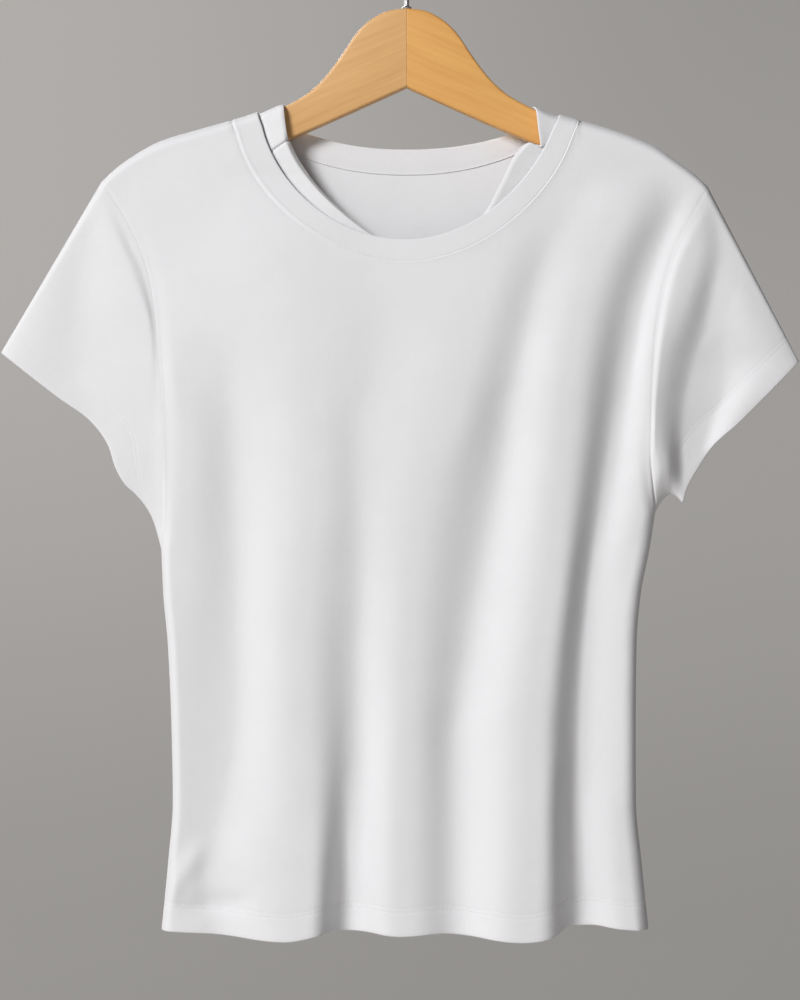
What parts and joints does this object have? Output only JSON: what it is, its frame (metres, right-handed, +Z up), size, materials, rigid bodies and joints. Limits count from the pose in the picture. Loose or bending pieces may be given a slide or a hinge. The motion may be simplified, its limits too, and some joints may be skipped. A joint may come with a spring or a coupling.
{
  "type": "crew neck t-shirt on a hanger",
  "caption": "Fitted short-sleeved crew neck t-shirt in white jersey, hanging with soft folds on a wooden hanger with a wire hook.",
  "frame": {"origin": "inner top of the hanger's hook, where a rail carries it", "axes": "+Z up, the shirt's front faces -Y, +X to the viewer's right"},
  "size_m": [0.5811, 0.0763, 0.756],
  "materials": {
    "white_jersey": "matt cotton jersey",
    "white_rib": "matt cotton rib",
    "beech": "satin lacquer",
    "steel": "plated wire"
  },
  "bodies": {
    "root": {"front": "white_jersey", "back": "white_jersey", "sleeve_left": "white_jersey", "sleeve_right": "white_jersey", "neck_facing": "white_jersey", "neckband": "white_rib", "hanger_arm_left": "beech", "hanger_arm_right": "beech", "hook": "steel"}
  },
  "joints": []
}
